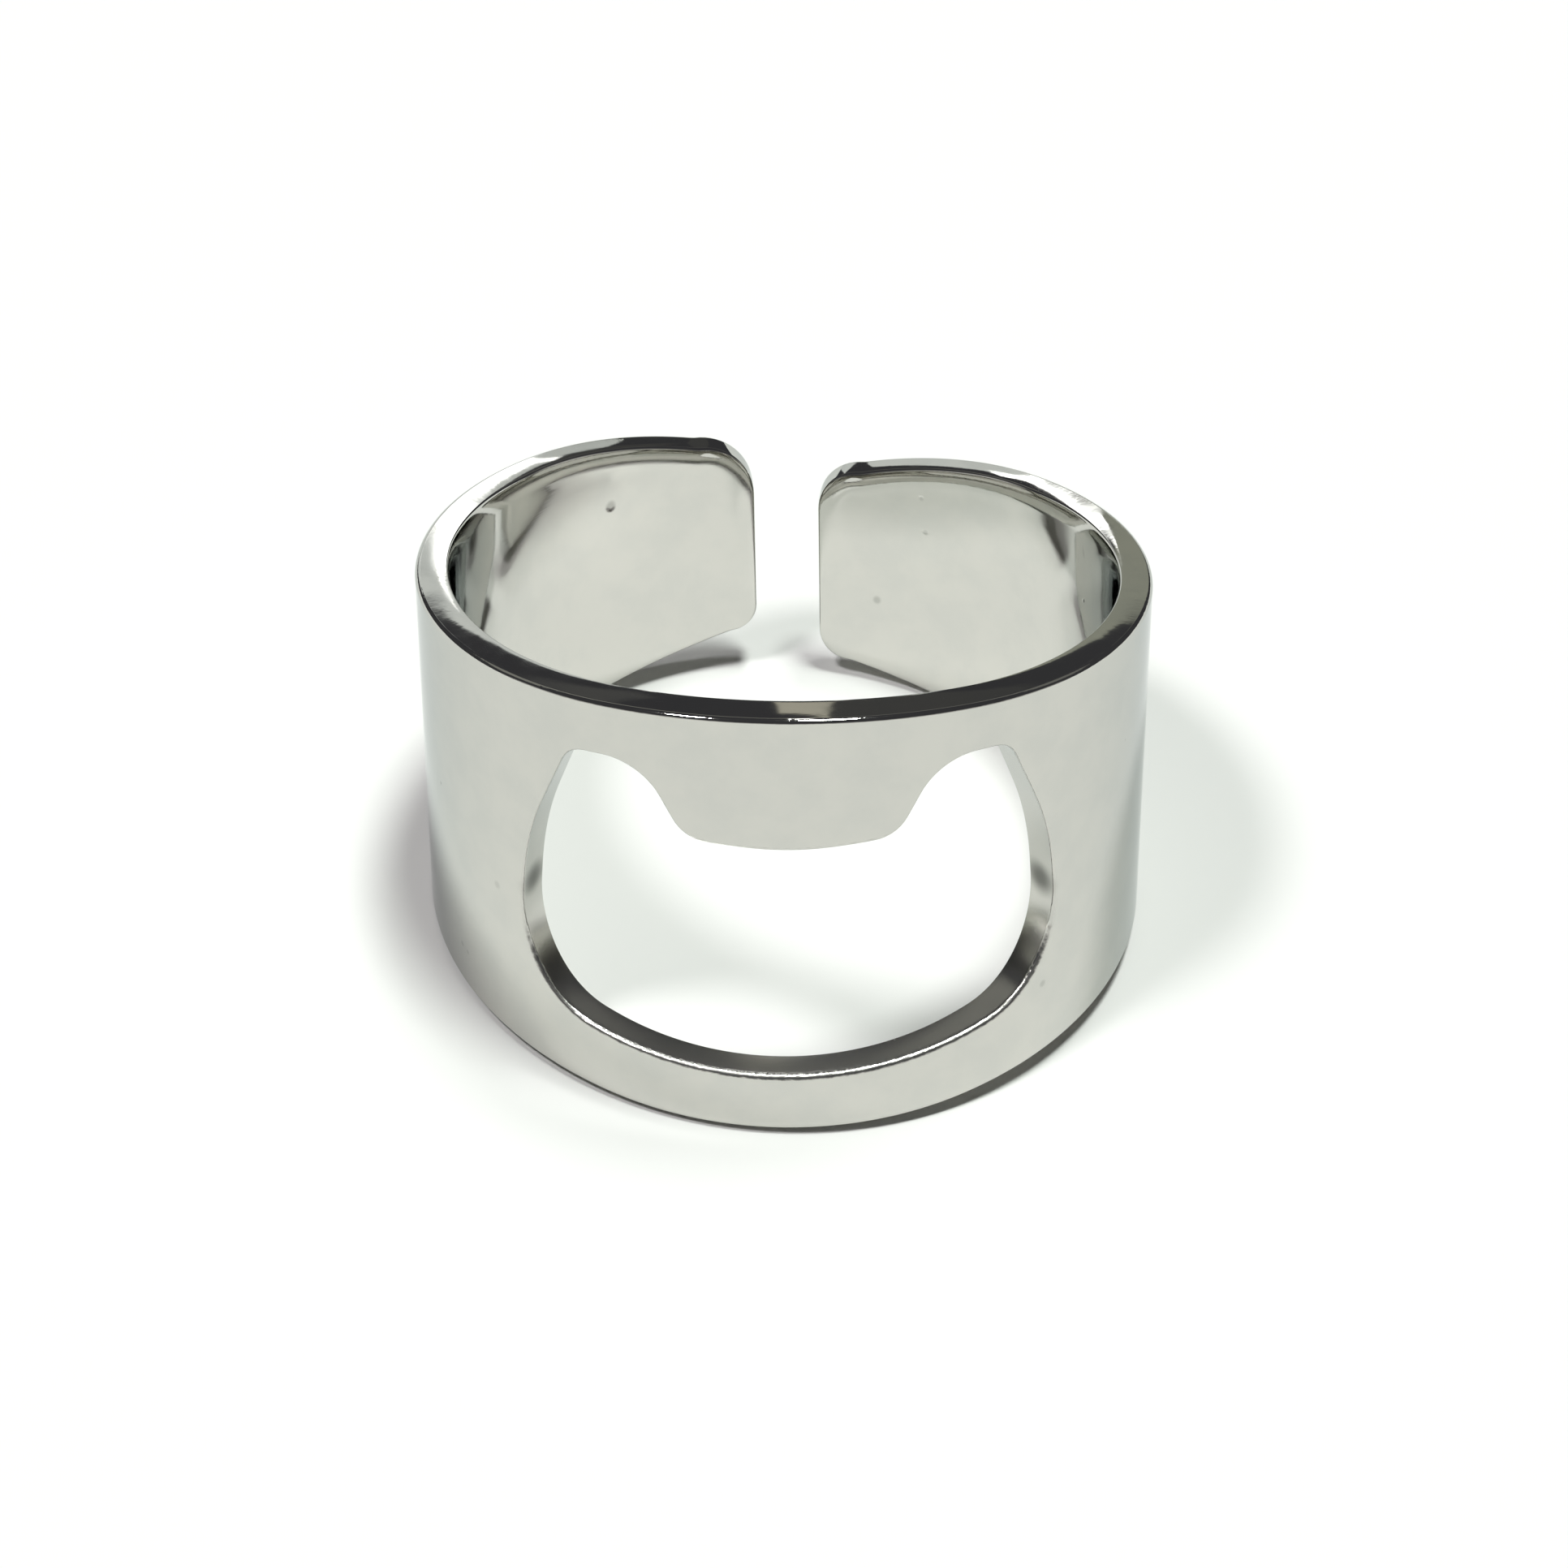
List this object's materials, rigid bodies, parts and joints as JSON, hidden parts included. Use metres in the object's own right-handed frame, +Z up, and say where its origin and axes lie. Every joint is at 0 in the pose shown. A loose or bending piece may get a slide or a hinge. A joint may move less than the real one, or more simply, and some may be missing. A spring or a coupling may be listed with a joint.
{
  "type": "bottle opener ring",
  "caption": "Open finger ring of polished steel sheet, wide at the front, with a window and a tongue in it that lift a bottle's crown cap.",
  "frame": {"origin": "middle of the bounding box's foot, on the surface that the ring rests on", "axes": "+Z up; the window faces -Y and the gap between the free ends +Y. The ring rests on its lower edge, so the band's own axis leans back 7.8 degrees towards +Y and 2.2 degrees towards -X"},
  "size_m": [0.0244, 0.0252, 0.0157],
  "materials": {
    "polished_steel": "mirror polished stainless steel"
  },
  "bodies": {
    "root": {"opener_ring": "polished_steel"}
  },
  "joints": []
}
